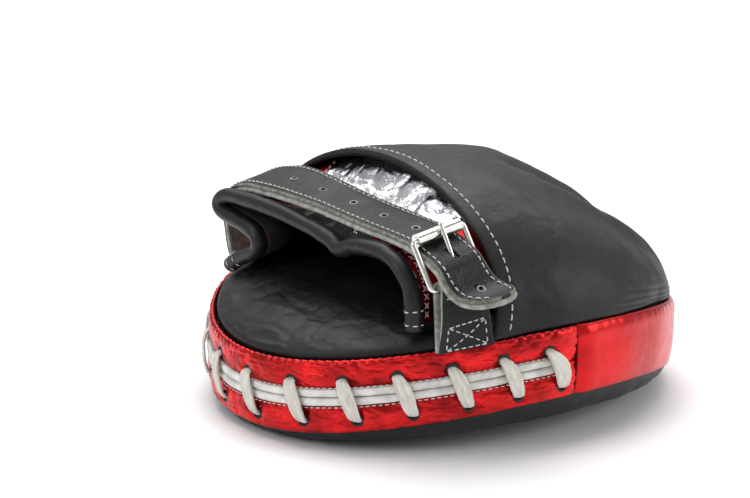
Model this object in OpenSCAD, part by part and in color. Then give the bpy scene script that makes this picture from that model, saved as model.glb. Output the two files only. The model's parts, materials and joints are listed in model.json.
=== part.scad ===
// Curved leather focus mitt, lying on its striking face.
// +X runs from the wrist to the fingers, -Y is the buckle side, +Z is the back of the hand.

/* [Pad] */
// Half length of the pad on the wrist side
wrist_half = 119; // [105:1:135]
// Half length of the pad on the finger side
finger_half = 122; // [105:1:138]
// Half width of the pad
half_width = 102; // [90:1:115]
// Radius of the bend that turns both ends of the pad down
bend_radius = 420; // [360:5:700]
// Height of the rim's top edge at the middle of the pad
rim_top = 56; // [56:1:64]
// Height of the rim wall
rim_height = 33; // [31:1:36]
// Thickness of the rim leather
rim_skin = 2.5; // [1.5:0.1:3]
// Distance from the middle of the pad back to the vertical rim seams
seam_back = 7; // [3:1:20]
// Height of the middle of the striking face above the surface the mitt lies on
face_arch = 10.3; // [9.8:0.1:10.8]

/* [Lacing] */
// Number of lace stitches around the wrist half
stitch_count = 13; // [9:1:15]
// Angle from the wrist end to the last stitch on each side
last_stitch = 79; // [72:1:80]
// Angle that each stitch leans by
stitch_lean = 3.6; // [0:0.1:5]
// Width of the flat lace
lace_width = 6.6; // [5:0.1:7]
// Thickness of the flat lace
lace_thick = 2; // [1.5:0.1:2.2]

/* [Hand cover] */
// Height of the finger hood above the rim at its front hem
hood_rise = 68; // [66:1:75]
// Distance from the middle of the pad back to the foot of the hood's hem
hem_back = 49.6; // [49.2:0.1:49.8]
// Thickness of the hood leather
hood_skin = 2.2; // [1.5:0.1:2.5]
// Height of the top of the cuff at its wrist edge
cuff_top = 91; // [87:1:92]
// Half width of the cuff at its wrist edge
cuff_half = 69; // [66:1:70]
// Radius of the rolled binding on the cuff's wrist edge
binding_radius = 3.7; // [3:0.1:4]

/* [Strap and buckle] */
// Width of the strap
strap_width = 25; // [22:0.5:26]
// Thickness of each of the strap's two plies
ply = 1.8; // [1.5:0.1:1.9]
// Sideways tilt of the strap and buckle
strap_tilt = 10; // [8:0.5:12]
// Radius of the buckle wire
wire = 1.4; // [1.2:0.1:1.5]
// Radius of the roller
roller_radius = 2.9; // [2.4:0.1:3]
// Radius of the prong wire
prong_wire = 1.2; // [1:0.1:1.3]
// Radius of the punched strap holes
hole_radius = 1.6; // [1.2:0.1:2]

/* [Hidden] */
$fn = 48;

bend_fn = 360;
outline_steps = 72;
// Clearance between stacked layers
gap = 0.2;

// Depths below the rim's top edge, measured square to the bend
board_top = 3.2;
board_bottom = 6;
core_bottom = 18;
upper_band_bottom = 12.4;
welt_split = 16.5;
lower_band_top = 20.6;
upper_hole = 10;
lower_hole = 26.5;
lace_middle = 17.5;
// Insets from the outline of the pad
filling_inset = 7;
panel_inset = 5;
face_inset = 2;
face_plate_inset = 7;
// Radius of the striking face's own bend, flatter than the rim's
face_radius = 560;
face_skin = 2;
// Depth at which the face panel narrows below the rim
face_step = 4.5;
welt_proud = 0.6;
lace_hole_radius = 2.9;
lace_waist = 4.4;
palm_rise = 10;

// ---- The bend and the outline ----

function bend_z(x, depth) = rim_top - bend_radius + sqrt(pow(bend_radius - depth, 2) - x * x);

function half_length(t, inset) = (cos(t) > 0 ? finger_half : wrist_half) - inset;

function outline_point(t, inset) =
    [half_length(t, inset) * cos(t), (half_width - inset) * sin(t)];

function half_width_at(x, inset) =
    let (reach = (x > 0 ? finger_half : wrist_half) - inset)
    (half_width - inset) * sqrt(max(0, 1 - pow(x / reach, 2)));

module outline(inset) {
    polygon([for (i = [0:outline_steps - 1]) outline_point(360 * i / outline_steps, inset)]);
}

// A plate that follows the bend, between two depths below the rim's top edge
module bent_layer(inset, top, bottom) {
    intersection() {
        translate([0, 0, -30]) linear_extrude(height = 140) outline(inset);
        translate([0, 0, rim_top - bend_radius]) rotate([90, 0, 0]) difference() {
            cylinder(h = 2 * half_width + 20, r = bend_radius - top, center = true, $fn = bend_fn);
            cylinder(h = 2 * half_width + 22, r = bend_radius - bottom, center = true, $fn = bend_fn);
        }
    }
}

// A wall that runs round the outline and follows the bend
module bent_wall(outer, inner, top, bottom) {
    difference() {
        bent_layer(outer, top, bottom);
        translate([0, 0, -31]) linear_extrude(height = 142) outline(inner);
    }
}

// ---- General closed meshes ----

function quad(a, b, c, d) = [[a, b, c], [a, c, d]];

// Skin stretched over a row of rings with equal numbers of points
module sweep(rings) {
    count = len(rings[0]);
    last = len(rings) - 1;
    at = function (i, j) i * count + j % count;
    polyhedron(
        points = [for (ring = rings) each ring],
        faces = concat(
            [[for (j = [0:count - 1]) j]],
            [for (i = [0:last - 1], j = [0:count - 1]) each
                quad(at(i, j), at(i + 1, j), at(i + 1, j + 1), at(i, j + 1))],
            [[for (j = [count - 1:-1:0]) last * count + j]]
        )
    );
}

// Closed shell between two grids of points, given as rows of equal length
module shell(inner, outer) {
    rows = len(inner);
    row = len(inner[0]);
    under = function (i, j) i * row + j;
    over = function (i, j) (rows + i) * row + j;
    polyhedron(
        points = concat([for (line = inner) each line], [for (line = outer) each line]),
        faces = concat(
            [for (i = [0:rows - 2], j = [0:row - 2]) each
                quad(over(i, j), over(i, j + 1), over(i + 1, j + 1), over(i + 1, j))],
            [for (i = [0:rows - 2], j = [0:row - 2]) each
                quad(under(i, j), under(i + 1, j), under(i + 1, j + 1), under(i, j + 1))],
            [for (i = [0:rows - 2]) each
                quad(under(i, 0), over(i, 0), over(i + 1, 0), under(i + 1, 0))],
            [for (i = [0:rows - 2]) each
                quad(under(i, row - 1), under(i + 1, row - 1), over(i + 1, row - 1), over(i, row - 1))],
            [for (j = [0:row - 2]) each quad(under(0, j), under(0, j + 1), over(0, j + 1), over(0, j))],
            [for (j = [0:row - 2]) each
                quad(under(rows - 1, j), over(rows - 1, j), over(rows - 1, j + 1), under(rows - 1, j + 1))]
        )
    );
}

// ---- Striking side ----

// A plate between a depth below the rim's top edge and the striking face, moved up by lift
module face_plate(inset, top, lift) {
    difference() {
        bent_layer(inset, top, 2 * rim_height);
        translate([0, 0, face_arch + lift - face_radius]) rotate([90, 0, 0])
            cylinder(h = 3 * half_width, r = face_radius, center = true, $fn = bend_fn);
    }
}

module face_panel() {
    color("#141416") difference() {
        union() {
            bent_layer(face_inset, rim_height + gap, rim_height + face_step);
            face_plate(face_plate_inset, rim_height + face_step, 0);
        }
        translate([-2 * half_width, -2 * half_width, -50]) cube([4 * half_width, 4 * half_width, 50]);
        bent_layer(face_inset + face_skin, rim_height, rim_height + face_step - face_skin);
        face_plate(face_plate_inset + face_skin, rim_height + face_skin, face_skin);
    }
}

module strike_foam() {
    color("#d9d2bb") face_plate(face_plate_inset + face_skin + 0.3, core_bottom + gap, face_skin + gap);
}

module core_foam() {
    color("#8f9aa3") bent_layer(filling_inset, board_bottom + gap, core_bottom);
}

module backing_board() {
    color("#6b5a45") bent_layer(filling_inset, board_top, board_bottom);
}

// ---- Palm side ----

palm_turns = 48;
palm_skin = 1.8;
palm_skin_top = -0.4;
palm_rings = [0.12, 0.35, 0.55, 0.72, 0.85, 0.94, 0.985, 1];

function palm_height(share) = palm_rise * sqrt(max(0, 1 - share * share));

// Ring of points on a surface that bulges above the bend
function palm_ring(inset, share, depth, bulge) = [
    for (i = [0:palm_turns - 1])
        let (p = outline_point(360 * i / palm_turns, inset) * share)
        [p[0], p[1], bend_z(p[0], depth) + bulge * palm_height(share)]
];

module palm_foam() {
    color("#d9d2bb") sweep(concat(
        [for (share = palm_rings) palm_ring(filling_inset, share, board_top - 2 * gap, 0)],
        [for (i = [len(palm_rings) - 1:-1:0])
            palm_ring(filling_inset, palm_rings[i], palm_skin_top + palm_skin + 0.5, 1)]
    ));
}

module palm_panel() {
    color("#1b1b1d") sweep(concat(
        [for (share = palm_rings) palm_ring(panel_inset, share, palm_skin_top + palm_skin, 1)],
        [for (i = [len(palm_rings) - 1:-1:0])
            palm_ring(panel_inset, palm_rings[i], palm_skin_top, 1)]
    ));
}

// ---- Rim ----

module wrist_side() {
    translate([-200 - seam_back, 0, 40]) cube([400, 400, 400], center = true);
}

// Extra angle that keeps the stitches evenly spaced along the rim, which is tighter at its sides
stitch_even = 3.9;

function lace_angle(i) =
    let (t = -last_stitch + 2 * last_stitch * i / (stitch_count - 1))
    t + stitch_even * sin(180 * t / last_stitch);

// Direction square to the outline, for an angle measured from the wrist end towards the buckle side
function outward(theta) =
    let (v = [-half_width * cos(theta), -wrist_half * sin(theta)])
    v / norm(v);

module lace_hole(theta, depth) {
    p = outline_point(180 + theta, 0);
    n = outward(theta);
    translate([p[0], p[1], bend_z(p[0], depth)]) rotate([0, 0, atan2(n[1], n[0])])
        rotate([0, 90, 0]) cylinder(h = 24, r = lace_hole_radius, center = true);
}

module lace_holes() {
    for (i = [0:stitch_count - 1]) {
        lace_hole(lace_angle(i), upper_hole);
        lace_hole(lace_angle(i) + stitch_lean, lower_hole);
    }
}

module rim_band_finger() {
    color("#c4171d") difference() {
        bent_wall(0, rim_skin, 0, rim_height);
        wrist_side();
    }
}

module rim_band(top, bottom, proud) {
    difference() {
        intersection() {
            bent_wall(-proud, rim_skin, top, bottom);
            translate([-0.1, 0, 0]) wrist_side();
        }
        lace_holes();
    }
}

module rim_band_upper() { color("#c4171d") rim_band(0, upper_band_bottom, 0); }

module rim_band_lower() { color("#c4171d") rim_band(lower_band_top, rim_height, 0); }

module welt_upper() { color("#e6e2d8") rim_band(upper_band_bottom + 0.1, welt_split - 0.1, welt_proud); }

module welt_lower() { color("#e6e2d8") rim_band(welt_split + 0.1, lower_band_top - 0.1, welt_proud); }

// ---- Lace ----

// Eight points of a flat ring, as shares of its half width and half thickness
flat_ring = [[1, 0.4], [0.6, 1], [-0.6, 1], [-1, 0.4], [-1, -0.4], [-0.6, -1], [0.6, -1], [1, -0.4]];

// Ring of the lace at a place on the rim; turn is the angle of its thickness above the outward direction
function lace_ring(theta, depth, off, width, thick, turn) =
    let (
        p = outline_point(180 + theta, 0),
        n = outward(theta),
        centre = [p[0] + n[0] * off, p[1] + n[1] * off, bend_z(p[0], depth)],
        along = [-n[1], n[0], 0],
        across = [n[0] * cos(turn), n[1] * cos(turn), sin(turn)]
    )
    [for (q = flat_ring) centre + along * q[0] * width / 2 + across * q[1] * thick / 2];

inside = -4.7;
corner = 1.25;

function lace_stitch(theta) = [
    lace_ring(theta, upper_hole, inside, lace_waist, lace_thick * corner, 135),
    lace_ring(theta, upper_hole, 1.4, lace_waist, lace_thick * corner, 45),
    lace_ring(theta + stitch_lean / 2, lace_middle, 2.4, lace_width, lace_thick, 0),
    lace_ring(theta + stitch_lean, lower_hole, 1.4, lace_waist, lace_thick * corner, -45),
    lace_ring(theta + stitch_lean, lower_hole, inside, lace_waist, lace_thick * corner, -135)
];

// The lace ends inside the rim, beside its first and last holes
module lace() {
    color("#efe9dc") sweep([for (i = [0:stitch_count - 1]) each lace_stitch(lace_angle(i))]);
}

// ---- Finger hood ----

hem_width = 10;
hood_steps = 24;
hood_tip = 117;

function hood_share(x) = (x + hem_back) / (finger_half + hem_back);

function hood_top(x) =
    let (s = hood_share(x))
    hood_rise * pow(max(0, 1 - pow(s, 2.7)), 0.58) - 5 * sin(180 * s);

// How far the top of the hem leans towards the fingers, easing out over hem_ease behind the hem
hem_lean = 7;
hem_ease = 60;
// Share of the hood's height that the buckle side falls by, beyond the knuckles
side_drop = 0.24;

// Point of the arch that rises from the rim at x; v runs from the buckle side to the thumb side
function hood_point(x, v, inset) =
    let (
        drop = side_drop * min(1, max(0, x + 8) / 70) * min(1, max(0, cos(v)) / 0.45),
        z = max(0.4, hood_top(x) - inset) * sin(v) * (1 - drop),
        lean = hem_lean * max(0, 1 - (x + hem_back) / hem_ease)
    )
    [x + lean * sin(90 * min(1, z / 40)), -half_width_at(x, 1 + inset) * cos(v), bend_z(x, 0) + 0.3 + z];

function hood_arch(x, inset) = [for (i = [0:hood_steps]) hood_point(x, 180 * i / hood_steps, inset)];

hood_sections = 16;

hood_start = hem_width - hem_back;

// Sections of the hood, crowding together towards the finger tip
hood_x = [for (i = [0:hood_sections]) hood_start + (hood_tip - hood_start) * sin(90 * i / hood_sections)];

module hood_shell(sections, outer, inner) {
    shell([for (x = sections) hood_arch(x, inner)], [for (x = sections) hood_arch(x, outer)]);
}

module finger_hood() {
    color("#1d1d20") hood_shell(hood_x, 0, hood_skin);
}

module hood_lining() {
    color("#2b2b30") hood_shell(hood_x, hood_skin + 0.1, hood_skin + 1.3);
}

module hood_hem() {
    sections = [for (i = [0:2]) -hem_back + (hem_width - 0.1) * i / 2];
    color("#1d1d20") hood_shell(sections, 0, 2 * hood_skin - 0.6);
}

// ---- Cuff ----

cuff_front = -75.4;
cuff_sections = 8;
// Exponent of the arch at the cuff's wrist edge, which makes square shoulders
cuff_square = 0.6;
// Offset of the wrist edge towards the thumb side
cuff_offset = 3;
// Height of the cuff's foot above the rim's top edge
cuff_lift = 6.2;
// How far behind the hood's hem the cuff ends, and how far inside the hood's surface
cuff_tuck = 10;
tuck_inset = 5.6;
cuff_skin = 1.6;

function cuff_foot(x) = bend_z(x, 0) + cuff_lift;

// Offset to the side and height above the foot, round the arch at the cuff's wrist edge
function cuff_side(v, inset) =
    cuff_offset - (cuff_half - inset) * sign(cos(v)) * pow(abs(cos(v)), cuff_square);

function cuff_height(v, inset) =
    (cuff_top - cuff_foot(cuff_front) - inset) * pow(max(0, sin(v)), cuff_square);

function cuff_edge(v, inset) =
    [cuff_front, cuff_side(v, inset), cuff_foot(cuff_front) + cuff_height(v, inset)];

// Point of the cuff from its wrist edge to the end tucked under the hood; it stays low
// under the strap, then climbs to the hood
function cuff_point(share, v, inset) =
    let (
        end = cuff_tuck - hem_back,
        under = hood_point(end, v, tuck_inset + inset),
        side = under[1] * (1 - 0.11 * pow(cos(v), 2)),
        height = (bend_z(end, 0) + hood_top(end) - tuck_inset - inset - cuff_foot(end)) * sin(v),
        climb = pow(share, 2.2),
        x = cuff_front + (under[0] - cuff_front) * share
    )
    [
        x,
        cuff_side(v, inset) * (1 - climb) + side * climb,
        cuff_foot(x) + cuff_height(v, inset) * (1 - climb) + height * climb
    ];

// Angles of the silver panel's two edges, which spread towards the hood
silver_near = function (share) 81.4 - 33 * share;
silver_far = function (share) 108 + 10 * share;
near_foot = function (share) 0;
far_foot = function (share) 180;

function cuff_arc(share, from, to, inset, steps) =
    [for (i = [0:steps]) cuff_point(share, from + (to - from) * i / steps, inset)];

// Part of the cuff between two angles, which may change along it
module cuff_panel(from, to, outer, inner, steps) {
    sections = [for (i = [0:cuff_sections]) i / cuff_sections];
    shell(
        [for (s = sections) cuff_arc(s, from(s), to(s), inner, steps)],
        [for (s = sections) cuff_arc(s, from(s), to(s), outer, steps)]
    );
}

module cuff_silver_panel() {
    color("#c9ccd2") cuff_panel(silver_near, silver_far, 0, cuff_skin, 14);
}

module cuff_side_near() {
    color("#b3151b") cuff_panel(near_foot, silver_near, 0, cuff_skin, 14);
}

module cuff_side_far() {
    color("#b3151b") cuff_panel(silver_far, far_foot, 0, cuff_skin, 14);
}

module cuff_lining() {
    color("#17171a") cuff_panel(near_foot, far_foot, cuff_skin + 0.3, cuff_skin + 1.7, 30);
}

binding_x = cuff_front - binding_radius - 0.1;
binding_steps = 30;
binding_sides = 10;

// Middle line of the binding, at an even spread of angles round the arch
function binding_point(i) =
    let (p = cuff_edge(180 * i / binding_steps, 0.5 * binding_radius))
    [binding_x, p[1], p[2] + 0.5];

function binding_ring(i) =
    let (
        centre = binding_point(i),
        ahead = binding_point(min(i + 1, binding_steps)),
        behind = binding_point(max(i - 1, 0)),
        along = (ahead - behind) / norm(ahead - behind),
        side = [1, 0, 0],
        up = cross(along, side)
    )
    [for (j = [0:binding_sides - 1])
        let (a = 360 * j / binding_sides)
        centre + binding_radius * (cos(a) * side + sin(a) * up)];

module cuff_binding() {
    color("#1d1d20") sweep([for (i = [0:binding_steps]) binding_ring(i)]);
}

// ---- Strap ----

bar_x = -61.5;
bar_y = -80;
bar_z = 79.5;
// Lean of the buckle frame towards the back of the hand
frame_lean = 25.7;
frame_length = 23.1;

// The strap and the buckle tilt about a line along Y through the hinge bar
module tilted() {
    translate([bar_x, 0, bar_z]) rotate([0, -strap_tilt, 0]) translate([0, 0, -bar_z]) children();
}

// Middle line of the strap, from its far foot over the cuff, under the roller and over the hinge bar
strap_route = [
    [82, 60], [82.8, 68], [82.4, 80], [79.4, 90], [72, 97], [60, 101.5], [46, 103.6], [33, 104.2],
    [18, 103.4], [0, 101.9], [-20, 100], [-36, 98.9], [-54, 97.8], [-64.6, 96.6], [-71.4, 93.9],
    [-78, 91.3], [-83.2, 88], [-86.4, 83.3]
];
tail_route = [[-86.5, 83.1], [-89.2, 79.6], [-93.2, 76.6], [-98, 74.6], [-104, 73.2]];
strap_holes = [34, 11.8, -10.5, -32.8, -55];
tail_hole_y = -92.5;

function direction(list, i) =
    let (d = list[min(i + 1, len(list) - 1)] - list[max(i - 1, 0)])
    d / norm(d);

// Point beside the middle line, off to the outer side
function beside(list, i, off) =
    let (d = direction(list, i))
    list[i] + off * [d[1], -d[0]];

module strip(route, low, high) {
    rotate([90, 0, 90]) linear_extrude(height = strap_width, center = true) polygon(concat(
        [for (i = [0:len(route) - 1]) beside(route, i, high)],
        [for (i = [len(route) - 1:-1:0]) beside(route, i, low)]
    ));
}

module upright_hole(y) {
    translate([0, y, 100]) cylinder(h = 80, r = hole_radius, center = true);
}

module strap_ply(low, high) {
    difference() {
        tilted() difference() {
            strip(strap_route, low, high);
            for (y = strap_holes) upright_hole(y);
        }
        for (lift = [0:2:12]) in_buckle() rotate([lift, 0, 0]) prong_shaft(prong_wire + 0.5);
    }
}

module strap() { color("#1c1c1f") strap_ply(0, ply); }

module strap_backing() { color("#8b8d86") strap_ply(-ply, 0); }

tail_round_y = -90;

module tail_ply(low, high) {
    tilted() intersection() {
        difference() {
            strip(tail_route, low, high);
            upright_hole(tail_hole_y);
        }
        translate([0, 0, 60]) linear_extrude(height = 40) union() {
            translate([0, tail_round_y]) circle(r = strap_width / 2 + 0.3);
            translate([0, tail_round_y + 20]) square([strap_width + 1, 40], center = true);
        }
    }
}

module strap_tail() { color("#1c1c1f") tail_ply(0, ply); }

module strap_tail_backing() { color("#8b8d86") tail_ply(-ply, 0); }

// ---- Buckle ----

frame_half = strap_width / 2 + 0.6 + wire;
corner_radius = 2;
roller_play = 0.05;
tab_radius = 3.4;
tab_play = 0.08;
tab_half = 10.9;
tab_neck = 2;

// Local frame of the buckle: X along the hinge bar, Z along the side wires
module in_buckle() {
    translate([bar_x, bar_y, bar_z]) rotate([0, -strap_tilt, 0]) rotate([-frame_lean, 0, 0]) children();
}

module bar(z) {
    translate([0, 0, z]) rotate([0, 90, 0])
        cylinder(h = 2 * (frame_half - corner_radius), r = wire, center = true);
}

module side_wire(x) {
    translate([x, 0, corner_radius]) cylinder(h = frame_length - 2 * corner_radius, r = wire);
}

module wire_corner(x, z, turn) {
    translate([x, 0, z]) rotate([90, turn, 0])
        rotate_extrude(angle = 90) translate([corner_radius, 0]) circle(r = wire);
}

module buckle_frame() {
    inner = frame_half - corner_radius;
    color("#c8c8c4") in_buckle() union() {
        bar(0);
        bar(frame_length);
        side_wire(-frame_half);
        side_wire(frame_half);
        wire_corner(inner, frame_length - corner_radius, 0);
        wire_corner(-inner, frame_length - corner_radius, -90);
        wire_corner(-inner, corner_radius, 180);
        wire_corner(inner, corner_radius, 90);
    }
}

module buckle_roller() {
    color("#d2d2ce") in_buckle() translate([0, 0, frame_length]) rotate([0, 90, 0]) difference() {
        cylinder(h = 2 * (frame_half - corner_radius) - 0.4, r = roller_radius, center = true);
        cylinder(h = 2 * frame_half, r = wire + roller_play, center = true);
    }
}

prong_ring = wire + roller_play + prong_wire;
prong_reach = frame_length + 3;
prong_slope = 4;

module prong_shaft(radius) {
    translate([0, -prong_ring, 0]) rotate([prong_slope, 0, 0]) cylinder(h = prong_reach, r = radius);
}

module buckle_prong() {
    color("#c8c8c4") in_buckle() union() {
        rotate([0, 90, 0]) rotate_extrude() translate([prong_ring, 0]) circle(r = prong_wire);
        prong_shaft(prong_wire);
        translate([0, -prong_ring, 0]) rotate([prong_slope, 0, 0])
            translate([0, 0, prong_reach]) sphere(r = prong_wire);
    }
}

tab_left = bar_x - tab_half * cos(strap_tilt);
tab_right = bar_x + tab_half * cos(strap_tilt);

// Middle of the tab's foot, which follows the rim
function tab_foot(x) = [x, -half_width_at(x, 0.1 + tab_neck), bend_z(x, 0) + 0.6];

module tab_bar(length, radius) {
    translate([bar_x, bar_y, bar_z]) rotate([0, 90 - strap_tilt, 0])
        cylinder(h = length, r = radius, center = true);
}

module buckle_tab() {
    a = tab_foot(tab_left);
    b = tab_foot(tab_right);
    span = b - a;
    color("#1f1f22") difference() {
        union() {
            tab_bar(2 * tab_half, tab_radius);
            hull() {
                translate([bar_x, bar_y, bar_z]) rotate([0, -strap_tilt, 0])
                    cube([2 * tab_half - 0.1, 2 * tab_neck, 0.4], center = true);
                translate((a + b) / 2)
                    rotate([0, -atan2(span[2], norm([span[0], span[1]])), atan2(span[1], span[0])])
                    cube([norm(span), 2 * tab_neck, 0.4], center = true);
            }
        }
        tab_bar(4 * tab_half, wire + tab_play);
        translate([bar_x, bar_y, bar_z]) rotate([0, -strap_tilt, 0])
            cube([2 * prong_wire + 1, 12, 12], center = true);
    }
}

face_panel();
strike_foam();
core_foam();
backing_board();
palm_foam();
palm_panel();
rim_band_finger();
rim_band_upper();
rim_band_lower();
welt_upper();
welt_lower();
lace();
finger_hood();
hood_hem();
hood_lining();
cuff_silver_panel();
cuff_side_near();
cuff_side_far();
cuff_lining();
cuff_binding();
strap();
strap_backing();
strap_tail();
strap_tail_backing();
buckle_tab();
buckle_frame();
buckle_roller();
buckle_prong();
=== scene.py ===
"""Looks of the leather focus mitt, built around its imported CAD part. Lengths in the helpers are millimetres."""
import json
import math
import bpy
import numpy as np
from mathutils import Matrix, Vector


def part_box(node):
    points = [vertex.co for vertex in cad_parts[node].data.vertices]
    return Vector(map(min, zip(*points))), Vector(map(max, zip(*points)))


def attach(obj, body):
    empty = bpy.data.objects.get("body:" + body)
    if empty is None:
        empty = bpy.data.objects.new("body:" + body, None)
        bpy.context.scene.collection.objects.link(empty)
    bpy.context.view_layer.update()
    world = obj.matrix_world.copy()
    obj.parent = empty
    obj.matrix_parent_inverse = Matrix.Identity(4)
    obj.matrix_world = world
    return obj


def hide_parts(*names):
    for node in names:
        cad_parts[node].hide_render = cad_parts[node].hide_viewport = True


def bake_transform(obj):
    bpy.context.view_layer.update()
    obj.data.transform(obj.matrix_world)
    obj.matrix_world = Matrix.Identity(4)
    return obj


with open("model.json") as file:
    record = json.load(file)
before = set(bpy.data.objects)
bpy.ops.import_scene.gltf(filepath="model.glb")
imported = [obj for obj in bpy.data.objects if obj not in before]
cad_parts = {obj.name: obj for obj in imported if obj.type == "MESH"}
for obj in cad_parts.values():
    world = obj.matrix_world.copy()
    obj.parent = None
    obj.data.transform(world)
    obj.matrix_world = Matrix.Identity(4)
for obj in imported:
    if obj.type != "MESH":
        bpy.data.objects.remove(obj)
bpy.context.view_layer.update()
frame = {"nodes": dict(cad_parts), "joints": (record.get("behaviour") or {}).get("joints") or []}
MM = 0.001

# ---- The part's own measures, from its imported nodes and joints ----


def box_mm(node):
    low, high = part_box(node)
    return np.array(low) / MM, np.array(high) / MM


FINGER_LOW, FINGER_HIGH = box_mm("rim_band_finger")
FINGER_HALF = FINGER_HIGH[0]
HALF_WIDTH = FINGER_HIGH[1]
WRIST_HALF = -box_mm("rim_band_upper")[0][0]
SEAM_X = FINGER_LOW[0]
BEND = 420.0
RIM_HEIGHT = 33.0
FACE_BEND, FACE_ARCH = 560.0, 10.3
CUFF_LIFT = 6.2
VIEW_TURN = 41.1
RIM_TOP = FINGER_HIGH[2]
HEM_BACK = -box_mm("hood_hem")[0][0]
HOOD_TIP = box_mm("finger_hood")[1][0]
CUFF_FRONT = box_mm("cuff_lining")[0][0]
JOINTS = {j["name"]: j for j in frame["joints"]}
BAR = np.array(JOINTS["buckle_tilt"]["pos_m"]) / MM
TILT = math.atan2(JOINTS["buckle_tilt"]["axis"][2], JOINTS["buckle_tilt"]["axis"][0])


def bend_z(x, depth):
    return RIM_TOP - BEND + np.sqrt((BEND - depth) ** 2 - np.square(x))


def outline(t, inset):
    """Point of the pad's outline; t is in degrees from the finger end towards the thumb side."""
    c, s = np.cos(np.radians(t)), np.sin(np.radians(t))
    return (np.where(c > 0, FINGER_HALF, WRIST_HALF) - inset) * c, (HALF_WIDTH - inset) * s


def half_width_at(x, inset):
    reach = np.where(np.asarray(x) > 0, FINGER_HALF, WRIST_HALF) - inset
    return (HALF_WIDTH - inset) * np.sqrt(np.maximum(0, 1 - (x / reach) ** 2))


def smooth(a, b, v):
    w = np.clip((np.asarray(v, float) - a) / (b - a), 0, 1)
    return w * w * (3 - 2 * w)


def bell(v, middle, width):
    return np.exp(-((v - middle) / width) ** 2)


# ---- Noise ----

LATTICE = np.random.default_rng(11).random(8192) * 2 - 1


def noise(points, size, seed=0):
    p = np.asarray(points, float) / size + 0.37 * seed
    i = np.floor(p).astype(np.int64)
    f = p - i
    f = f * f * (3 - 2 * f)
    total = 0
    for dx in (0, 1):
        for dy in (0, 1):
            for dz in (0, 1):
                key = (i[..., 0] + dx) * 73856093 ^ (i[..., 1] + dy) * 19349663 ^ (i[..., 2] + dz) * 83492791
                w = (f[..., 0] if dx else 1 - f[..., 0]) * (f[..., 1] if dy else 1 - f[..., 1])
                total = total + LATTICE[(key + seed * 977) & 8191] * w * (f[..., 2] if dz else 1 - f[..., 2])
    return total


def fbm(points, size, octaves=3, seed=0):
    return sum(noise(points, size / 2 ** k, seed + k) / 2 ** k for k in range(octaves)) / 1.5


def creases(points, size, octaves=2, seed=0):
    """Narrow lines: 1 on a crease and near 0 away from it."""
    return sum((1 - np.minimum(1, np.abs(noise(points, size / 2 ** k, seed + k)) * 4)) / 1.6 ** k
               for k in range(octaves))


# ---- Meshes ----


def link(name, verts, faces, uv=None, slots=None):
    mesh = bpy.data.meshes.new(name)
    mesh.from_pydata((np.asarray(verts) * MM).tolist(), [], faces)
    if uv is not None:
        layer = mesh.uv_layers.new(name="UVMap")
        index = np.zeros(len(mesh.loops), np.int32)
        mesh.loops.foreach_get("vertex_index", index)
        layer.data.foreach_set("uv", (np.asarray(uv, np.float32) * MM)[index].ravel())
    mesh.polygons.foreach_set("use_smooth", [True] * len(mesh.polygons))
    if slots is not None:
        mesh.polygons.foreach_set("material_index", slots)
    mesh.update()
    obj = bpy.data.objects.new(name, mesh)
    bpy.context.scene.collection.objects.link(obj)
    return obj


def run_lengths(grid):
    """Lengths along both directions of a grid of points."""
    du = np.r_[0, np.cumsum(np.linalg.norm(np.diff(grid, axis=0), axis=2).mean(1))]
    dv = np.r_[0, np.cumsum(np.linalg.norm(np.diff(grid, axis=1), axis=2).mean(0))]
    return du, dv


def normals(grid):
    n = np.cross(np.gradient(grid, axis=0), np.gradient(grid, axis=1))
    return n / np.maximum(np.linalg.norm(n, axis=2, keepdims=True), 1e-9)


def tube(name, rings, slot_of=None):
    """Closed solid through rings of points, with fan caps."""
    rings = np.asarray(rings, float)
    n, m = rings.shape[:2]
    faces, slots = [], []
    for i in range(n - 1):
        for j in range(m):
            k = (j + 1) % m
            faces.append((i * m + j, i * m + k, (i + 1) * m + k, (i + 1) * m + j))
            slots.append(slot_of(j) if slot_of else 0)
    verts = rings.reshape(-1, 3)
    ends = np.array([rings[0].mean(0), rings[-1].mean(0)])
    for j in range(m):
        k = (j + 1) % m
        faces.append((n * m, k, j))
        faces.append((n * m + 1, (n - 1) * m + j, (n - 1) * m + k))
        slots += [slot_of(0) if slot_of else 0] * 2
    du = np.r_[0, np.cumsum(np.linalg.norm(np.diff(rings, axis=0), axis=2).mean(1))]
    dv = np.r_[0, np.cumsum(np.linalg.norm(np.diff(rings, axis=1), axis=2).mean(0))]
    uv = np.stack(np.meshgrid(du, dv, indexing="ij"), 2).reshape(-1, 2)
    obj = link(name, np.r_[verts, ends], faces, np.r_[uv, [[0, 0], [du[-1], 0]]], slots)
    return outward(obj)


def outward(obj):
    """Turns a closed mesh's faces outwards."""
    mesh = obj.data
    mesh.calc_loop_triangles()
    co = np.zeros(len(mesh.vertices) * 3)
    mesh.vertices.foreach_get("co", co)
    co = co.reshape(-1, 3)
    tri = np.zeros(len(mesh.loop_triangles) * 3, np.int32)
    mesh.loop_triangles.foreach_get("vertices", tri)
    a, b, c = (co[tri.reshape(-1, 3)[:, k]] for k in range(3))
    if np.einsum("ij,ij->i", a, np.cross(b, c)).sum() < 0:
        mesh.flip_normals()
    return obj


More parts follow.
